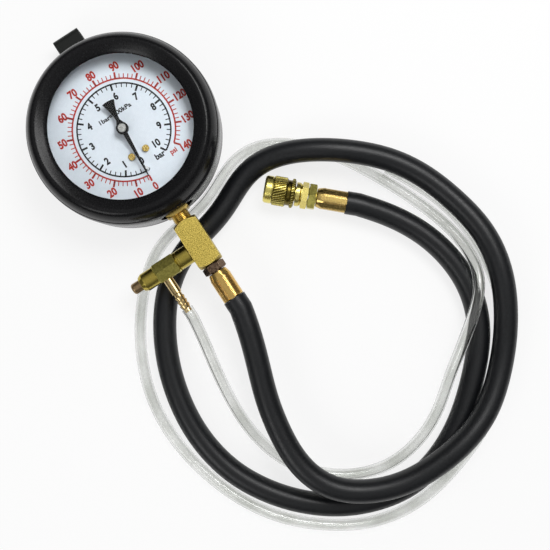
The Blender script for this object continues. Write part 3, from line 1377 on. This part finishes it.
def make_valve(axis):
    seat_face = -VALVE_HEX_START + VALVE_SEAT_DEPTH
    nipple_end = seat_face - BUTTON_TRAVEL - SEAL_THICKNESS - 3 * GAP - FLANGE_THICKNESS
    block_side = BLOCK_WIDTH / 2
    shoulder = (block_side + GAP, -VALVE_HEX_START - GAP)
    nipple = turned(
        "valve_nipple",
        [
            (NIPPLE_BORE_RADIUS, nipple_end),
            (NIPPLE_SPIGOT_RADIUS, nipple_end),
            (NIPPLE_SPIGOT_RADIUS, shoulder[1]),
            (NIPPLE_RADIUS - EDGE, shoulder[1]),
            (NIPPLE_RADIUS, shoulder[1] - EDGE),
            (NIPPLE_RADIUS, shoulder[0] + EDGE),
            (NIPPLE_RADIUS - EDGE, shoulder[0]),
            (NIPPLE_SPIGOT_RADIUS, shoulder[0]),
            (NIPPLE_SPIGOT_RADIUS, block_side - NIPPLE_SPIGOT_DEPTH),
            (NIPPLE_BORE_RADIUS, block_side - NIPPLE_SPIGOT_DEPTH),
        ],
        FINE_SEGMENTS,
    )
    nipple.matrix_world = valve_frame()
    finish(nipple, BRASS)
    body = plate("valve_body", [hexagon(VALVE_HEX_FLATS)], -VALVE_HEX_START, VALVE_HEX_LENGTH)
    body.matrix_world = valve_frame() @ body.matrix_world
    low, high = -VALVE_HEX_START, -VALVE_HEX_END
    corner = VALVE_HEX_FLATS / math.sqrt(3) + FIT
    face = VALVE_HEX_FLATS / 2 - FIT
    slope = (corner - face) / HEX_CHAMFER
    rounding = turned(
        "valve_hex_ends",
        [
            (0, high + PAST),
            (face - slope * PAST, high + PAST),
            (corner, high - HEX_CHAMFER),
            (corner, low + HEX_CHAMFER),
            (face - slope * PAST, low - PAST),
            (0, low - PAST),
        ],
        24, CUTTERS,
    )
    way = stepped_bore(
        "valve_way",
        (
            (NIPPLE_SPIGOT_RADIUS + GAP, low - PAST, seat_face),
            (VALVE_SEAT_RADIUS, seat_face, seat_face + VALVE_SEAT_THICKNESS),
            (VALVE_CHAMBER_RADIUS, seat_face + VALVE_SEAT_THICKNESS, high + PAST),
        ),
        16,
    )
    for tool in (rounding, way):
        tool.matrix_world = valve_frame()
    cut(common(body, rounding), way)
    barb_port = rod(
        "barb_port", BARB_SPIGOT_RADIUS + GAP, -VALVE_Y + VALVE_CHAMBER_RADIUS / 2,
        -VALVE_Y + VALVE_HEX_FLATS / 2 + PAST, 12, CUTTERS,
    )
    barb_port.matrix_world = barb_frame()
    cut(body, barb_port)
    finish(body, OLIVE_BRASS)
    spring_floor = -VALVE_HEX_END + BUSH_SPRING_SEAT
    bush_bore = BUTTON_RADIUS + BUTTON_PLAY
    bush = turned(
        "button_bush",
        [
            (bush_bore, -BUSH_END),
            (BUSH_RADIUS - BUSH_CHAMFER_WIDTH, -BUSH_END),
            (BUSH_RADIUS, -BUSH_END - BUSH_CHAMFER),
            (BUSH_RADIUS, -BUSH_START),
            (BUSH_SPIGOT_RADIUS, -BUSH_START),
            (BUSH_SPIGOT_RADIUS, -BUSH_START - BUSH_SPIGOT_DEPTH),
            (BUTTON_STEM_RADIUS + RUN, -BUSH_START - BUSH_SPIGOT_DEPTH),
            (BUTTON_STEM_RADIUS + RUN, spring_floor),
            (bush_bore, spring_floor),
        ],
        FINE_SEGMENTS,
    )
    bush.matrix_world = valve_frame()
    finish(bush, BRIGHT_BRASS)
    button_top = -BUSH_END + BUTTON_PROUD
    button_back = -BUSH_END - BUTTON_SINK
    seal_low = seat_face - GAP - SEAL_THICKNESS
    flange = (seal_low - GAP - FLANGE_THICKNESS, seal_low - GAP)
    button = turned(
        "bleed_button",
        [
            (0, button_top),
            (BUTTON_RADIUS - BUTTON_ROUND, button_top),
            (BUTTON_RADIUS, button_top - BUTTON_ROUND),
            (BUTTON_RADIUS, button_back),
            (BUTTON_STEM_RADIUS, button_back),
            (BUTTON_STEM_RADIUS, flange[1]),
            (FLANGE_RADIUS, flange[1]),
            (FLANGE_RADIUS, flange[0]),
            (0, flange[0]),
        ],
        16,
    )
    seal = rod(
        "valve_seal", SEAL_RADIUS, seal_low, seat_face - GAP, 16, bore=BUTTON_STEM_RADIUS + GAP
    )
    for piece, surface in ((button, COPPER), (seal, RUBBER)):
        seat(finish(piece, surface), axis)
    spring_low = spring_floor + GAP + VALVE_SPRING_WIRE
    spring_high = button_back - GAP - VALVE_SPRING_WIRE
    points = []
    for step in range(8 * VALVE_SPRING_TURNS + 1):
        angle = 2 * math.pi * step / 8
        height = spring_low + (spring_high - spring_low) * step / (8 * VALVE_SPRING_TURNS)
        points.append((*polar(VALVE_SPRING_RADIUS, angle), height))
    spring = wire("valve_spring", points, VALVE_SPRING_WIRE, 1)
    spring.matrix_world = valve_frame()
    finish(spring, STEEL)


def make_barb():
    profile = [(BARB_BORE_RADIUS, -BARB_END)]
    low = BARB_RADIUS - BARB_RIB_DEPTH
    top = -BARB_END
    spigot_end = -VALVE_Y + VALVE_CHAMBER_RADIUS + BARB_SPIGOT_CLEARANCE
    for rib in range(BARB_RIB_COUNT):
        profile += [
            (low, top - rib * BARB_RIB_PITCH),
            (BARB_RADIUS, top - (rib + 1) * BARB_RIB_PITCH + EDGE),
        ]
    profile += [
        (low, top - BARB_RIB_COUNT * BARB_RIB_PITCH + EDGE / 2),
        (low, -BARB_START + BARB_SHANK),
        (BARB_RADIUS, -BARB_START + BARB_SHANK - EDGE),
        (BARB_RADIUS, -BARB_START),
        (BARB_SPIGOT_RADIUS, -BARB_START),
        (BARB_SPIGOT_RADIUS, spigot_end),
        (BARB_BORE_RADIUS, spigot_end),
    ]
    barb = turned("drain_barb", profile, SMALL_SEGMENTS)
    barb.matrix_world = barb_frame()
    finish(barb, BRASS)


def hose_insert(name, frame, start, flats, thread_length, turn_deg):
    """Hose fitting: thread, hexagon and barbed tail in one drilled piece.

    The hexagon's near face lies at start on the frame's Z, and the tail points up.
    """
    hex_top = start + INSERT_HEX_LENGTH
    tail_top = hex_top + GAP + FERRULE_LENGTH - INSERT_TAIL_STOP
    thread_radius = INSERT_THREAD_RADIUS
    insert = plate(name, [hexagon(flats, turn_deg)], start, INSERT_HEX_LENGTH)
    insert.matrix_world = frame @ insert.matrix_world
    root = INSERT_TAIL_RADIUS - INSERT_RIB_DEPTH
    profile = [(0, tail_top), (root, tail_top)]
    pitch = (FERRULE_LENGTH - INSERT_PLAIN_TAIL) / INSERT_RIB_COUNT
    for rib in range(INSERT_RIB_COUNT):
        height = tail_top - (rib + 1) * pitch
        profile += [(INSERT_TAIL_RADIUS, height + INSERT_RIB_DEPTH), (root, height)]
    profile += [
        (INSERT_TAIL_RADIUS, hex_top + PAST),
        (INSERT_TAIL_RADIUS, start + INSERT_HEX_LENGTH / 2),
        (thread_radius, start + INSERT_HEX_LENGTH / 2),
        (thread_radius, start - thread_length + EDGE),
        (thread_radius - EDGE, start - thread_length),
        (0, start - thread_length),
    ]
    core = turned(name + "_core", profile, SMALL_SEGMENTS, CUTTERS)
    bore = rod(
        name + "_bore", INSERT_BORE_RADIUS, start - thread_length - PAST, tail_top + PAST, 12, CUTTERS
    )
    for tool in (core, bore):
        tool.matrix_world = frame
    cut(join(insert, core), bore)
    return finish(insert, DARK_BRASS)


def ferrule(name, frame, start):
    """Crimped sleeve: cone at the fitting's end, then eight pressed flats."""
    end = start + FERRULE_LENGTH
    inner = FERRULE_RADIUS - FERRULE_WALL
    sleeve = turned(
        name,
        [
            (inner, end),
            (FERRULE_RADIUS - EDGE, end),
            (FERRULE_RADIUS, end - EDGE),
            (FERRULE_RADIUS, start + FERRULE_CONE),
            (FERRULE_NECK_RADIUS, start + FERRULE_ROUND),
            (FERRULE_NECK_RADIUS - FERRULE_ROUND, start),
            (INSERT_TAIL_RADIUS + GAP, start),
            (INSERT_TAIL_RADIUS + GAP, start + FERRULE_SEAT),
            (inner, start + FERRULE_CONE),
        ],
        16,
    )
    octagon = circle(FERRULE_FLATS / 2 / math.cos(math.radians(22.5)), count=8)
    press = plate(name + "_press", [octagon], start - PAST, FERRULE_LENGTH + 2 * PAST, CUTTERS)
    press.matrix_world = frame @ press.matrix_world
    sleeve.matrix_world = frame
    common(sleeve, press)
    return finish(sleeve, BRIGHT_BRASS)


def coupler_direction():
    heading = math.radians(COUPLER_HEADING_DEG)
    return Vector((math.cos(heading), math.sin(heading), 0))


def make_coupler(axis):
    """Knurled union nut turning on the coupler's body; Z runs from the mouth to the hose."""
    frame = axis.matrix_world.copy()
    body_front = NUT_BORE_DEPTH - GAP - COUPLER_FLANGE_THICKNESS
    neck_start = NUT_LENGTH + GAP
    hex_start = neck_start + COUPLER_NECK_LENGTH
    body_end = hex_start + COUPLER_HEX_LENGTH
    hex_face = COUPLER_HEX_FLATS / 2 - EDGE
    body = plate("coupler_body", [hexagon(COUPLER_HEX_FLATS)], hex_start, COUPLER_HEX_LENGTH)
    body.matrix_world = frame @ body.matrix_world
    core = turned(
        "coupler_body_core",
        [
            (0, body_end - EDGE),
            (hex_face, body_end - EDGE),
            (hex_face, hex_start + EDGE),
            (COUPLER_NECK_RADIUS - COUPLER_NECK_ROUND, hex_start - EDGE),
            (COUPLER_NECK_RADIUS, hex_start - COUPLER_NECK_ROUND),
            (COUPLER_NECK_RADIUS, neck_start),
            (COUPLER_SHAFT_RADIUS, neck_start),
            (COUPLER_SHAFT_RADIUS, NUT_BORE_DEPTH - GAP),
            (NUT_BORE_RADIUS - GAP, NUT_BORE_DEPTH - GAP),
            (NUT_BORE_RADIUS - GAP, body_front),
            (0, body_front),
        ],
        FINE_SEGMENTS, CUTTERS,
    )
    thread_floor = body_end - END_THREAD_LENGTH - INSERT_THREAD_END_CLEARANCE
    bore = stepped_bore(
        "coupler_bore",
        (
            (COUPLER_BORE_RADIUS, body_front - PAST, thread_floor),
            (INSERT_THREAD_RADIUS + GAP, thread_floor, body_end + PAST),
        ),
        16,
    )
    for tool in (core, bore):
        tool.matrix_world = frame
    cut(join(body, core), bore)
    finish(body, BRASS)
    seal_high = body_front - GAP
    seal = rod(
        "coupler_seal", NUT_BORE_RADIUS - GAP, seal_high - COUPLER_SEAL_THICKNESS, seal_high,
        FINE_SEGMENTS, bore=SEAL_BORE_RADIUS,
    )
    seal.matrix_world = frame
    finish(seal, RUBBER)
    pin_root = body_front + CORE_SHOULDER[0]
    pin_end = pin_root - CORE_LENGTH
    base_end = body_front + CORE_BASE_LENGTH
    depressor = turned(
        "core_depressor",
        [
            (0, base_end),
            (CORE_BASE_RADIUS, base_end),
            (CORE_BASE_RADIUS, body_front + CORE_SHOULDER[1]),
            (CORE_PIN_RADIUS, pin_root),
            (CORE_PIN_RADIUS, pin_end + CORE_PIN_TIP),
            (CORE_PIN_RADIUS - CORE_PIN_TIP, pin_end),
            (0, pin_end),
        ],
        12,
    )
    depressor.matrix_world = frame
    reach = CORE_BASE_RADIUS + PAST
    for number, (left, right) in enumerate(((-reach, -CORE_FLAT_OFFSET), (CORE_FLAT_OFFSET, reach))):
        flat = box(
            f"depressor_flat_{number}", (left, -reach, body_front), (right, reach, base_end + PAST),
            CUTTERS,
        )
        flat.matrix_world = frame
        cut(depressor, flat)
    finish(depressor, BRASS)
    make_coupler_nut(axis)
    return body_end


def knurled_band(name, start, length, twist_deg):
    """A band of slanting ridges: a toothed disc, turned as it rises; a long one in two slices."""
    outline = []
    for number in range(KNURL_COUNT):
        step = 2 * math.pi / KNURL_COUNT
        outline.append(polar(KNURL_RADIUS, step * (number - 0.12)))
        outline.append(polar(KNURL_RADIUS, step * (number + 0.12)))
        outline.append(polar(KNURL_RADIUS - KNURL_DEPTH, step * (number + 0.5)))
    band = plate(name, [outline], 0, length, CUTTERS)
    band.location.z = start + length / 2
    shape = bmesh.new()
    shape.from_mesh(band.data)
    if length > KNURL_RADIUS / 2:
        bmesh.ops.bisect_plane(
            shape, geom=shape.verts[:] + shape.edges[:] + shape.faces[:],
            plane_co=(0, 0, 0), plane_no=(0, 0, 1), dist=0.0000001,
        )
    for vert in shape.verts:
        turn = Matrix.Rotation(math.radians(twist_deg) * (vert.co.z / length), 3, "Z")
        vert.co = turn @ vert.co
    bmesh.ops.triangulate(shape, faces=[face for face in shape.faces if len(face.verts) == 4])
    shape.to_mesh(band.data)
    shape.free()
    return band


def make_coupler_nut(axis):
    knurl_start = NUT_BAND_LENGTH
    knurl_end = knurl_start + KNURL_LENGTH
    rear_end = NUT_LENGTH - EDGE
    rear_start = rear_end - REAR_KNURL_LENGTH
    under = KNURL_RADIUS - KNURL_DEPTH - KNURL_ROOT
    nut = turned(
        "coupler_nut",
        [
            (0, NUT_LENGTH),
            (under - EDGE, NUT_LENGTH),
            (under, rear_end - EDGE),
            (under, rear_start + EDGE),
            (NUT_GROOVE_RADIUS, rear_start - FIT),
            (NUT_GROOVE_RADIUS, knurl_end + FIT),
            (under, knurl_end - EDGE),
            (under, knurl_start + EDGE),
            (NUT_BAND_RADIUS, knurl_start - FIT),
            (NUT_BAND_RADIUS, NUT_MOUTH_CHAMFER),
            (NUT_BAND_RADIUS - NUT_MOUTH_CHAMFER, 0),
            (0, 0),
        ],
        24,
    )
    front_knurl = knurled_band("front_knurl", knurl_start, KNURL_LENGTH, KNURL_TWIST_DEG)
    rear_knurl = knurled_band(
        "rear_knurl", rear_start, REAR_KNURL_LENGTH, KNURL_TWIST_DEG * REAR_KNURL_LENGTH / KNURL_LENGTH
    )
    bore = stepped_bore(
        "nut_bore",
        (
            (NUT_BORE_RADIUS, -PAST, NUT_BORE_DEPTH),
            (COUPLER_SHAFT_RADIUS + GAP, NUT_BORE_DEPTH, NUT_LENGTH + PAST),
        ),
        24,
    )
    cut(join(join(nut, front_knurl), rear_knurl), bore)
    for tool in (front_knurl, rear_knurl, bore):
        tool.parent = nut
    nut.parent = axis
    finish(nut, BRIGHT_BRASS)


def strip_outline(path, thickness):
    """A bent strip's edge-on outline: the path, and the same path offset by the thickness."""
    left, right = [], []
    for number, point in enumerate(path):
        before = Vector(path[max(number - 1, 0)])
        after = Vector(path[min(number + 1, len(path) - 1)])
        along = (after - before).normalized()
        across = Vector((-along.y, along.x)) * thickness / 2
        left.append(tuple(Vector(point) + across))
        right.append(tuple(Vector(point) - across))
    return left + right[::-1]


def bend(centre, radius, start_deg, end_deg, count=5):
    """Points along an arc from one angle to another."""
    points = []
    for step in range(count + 1):
        x, y = polar(radius, math.radians(start_deg + (end_deg - start_deg) * step / count))
        points.append((centre[0] + x, centre[1] + y))
    return points


def make_hook():
    """Bent steel strip: foot on the case wall, top leg, web and a short return."""
    half = HOOK_THICKNESS / 2
    foot_y = hook_inner_face() + half
    top_z = HOOK_TOP - half
    web_y = HOOK_REACH - half
    low_z = HOOK_BOTTOM + half
    turn = HOOK_BEND_RADIUS
    small = HOOK_FOOT_BEND
    path = [(foot_y, HOOK_TOP - HOOK_FOOT)]
    path += bend((foot_y + small, top_z - small), small, 180, 90)
    path += bend((web_y - turn, top_z - turn), turn, 90, 0)
    path += bend((web_y - turn, low_z + turn), turn, 0, -90)
    path.append((web_y - HOOK_RETURN, low_z))
    hook = side_plate("hanging_hook", strip_outline(path, HOOK_THICKNESS), HOOK_WIDTH)
    finish(hook, BLACK_STEEL)


def cord_points(route, count):
    """Even points on the route, with its first and last stretches kept straight."""
    return [route[0]] + smooth_route(route[1:-1], count - 2) + [route[-1]]


def make_cords(hose_end):
    mouth = Vector((*COUPLER_MOUTH, COUPLER_AXIS_HEIGHT))
    along = coupler_direction()
    hose_start = Vector((0, FERRULE_END - GAP, STEM_HEIGHT))
    straight = Vector((0, -HOSE_STRAIGHT, 0))
    route = [hose_start, hose_start + straight]
    route += [Vector(point) * MM for point in HOSE_ROUTE]
    route += [mouth + along * (hose_end + HOSE_STRAIGHT), mouth + along * (hose_end + GAP)]
    hose = wire("fuel_hose", cord_points(route, HOSE_POINT_COUNT), HOSE_RADIUS, 2)
    finish(hose, RUBBER)
    drain_start = Vector((BARB_X, BARB_END - GAP, STEM_HEIGHT))
    route = [drain_start, drain_start + Vector((0, -DRAIN_STRAIGHT, 0))]
    route += [Vector(point) * MM for point in DRAIN_ROUTE]
    drain = wire("drain_tube", cord_points(route, DRAIN_POINT_COUNT), DRAIN_TUBE_RADIUS, 2)
    finish(drain, CLEAR_PVC)


def main():
    make_boot()
    make_case()
    make_case_screws()
    make_bezel_and_lens()
    make_dial()
    make_movement_plates()
    make_movement_screws()
    make_hairspring()
    make_bourdon_tube()
    make_socket()
    pointer_axis = axis_empty("pointer_axis", (0, 0, 0))
    arbor_top = make_pointer(pointer_axis)
    make_arbor(pointer_axis, arbor_top)
    sector_axis = axis_empty("sector_axis", (*SECTOR_PIVOT, 0))
    make_sector(sector_axis)
    tail = polar(TAIL_LENGTH, math.radians(TAIL_REST_DEG))
    link_axis = axis_empty("link_axis", (SECTOR_PIVOT[0] + tail[0], SECTOR_PIVOT[1] + tail[1], 0))
    make_link(link_axis)
    tip_axis = axis_empty("tip_axis", (*link_eye_place(), 0))
    make_tube_tip(tip_axis)
    make_block()
    button_axis = axis_empty("button_axis", (0, VALVE_Y, STEM_HEIGHT), (-1, 0, 0))
    make_valve(button_axis)
    make_barb()
    block_port = socket_frame(0)
    hose_insert("hose_insert_a", block_port, -BLOCK_END + GAP, INSERT_FLATS, INSERT_THREAD_LENGTH, 0)
    ferrule("ferrule_a", block_port, -FERRULE_START)
    mouth = (*COUPLER_MOUTH, COUPLER_AXIS_HEIGHT)
    coupler_axis = axis_empty("coupler_axis", mouth, coupler_direction())
    body_end = make_coupler(coupler_axis)
    frame = coupler_axis.matrix_world.copy()
    insert_start = body_end + GAP
    hose_insert(
        "hose_insert_b", frame, insert_start, END_HEX_FLATS, END_THREAD_LENGTH, END_HEX_TURN_DEG
    )
    ferrule_start = insert_start + INSERT_HEX_LENGTH + GAP
    ferrule("ferrule_b", frame, ferrule_start)
    make_hook()
    make_cords(ferrule_start + FERRULE_LENGTH)


main()
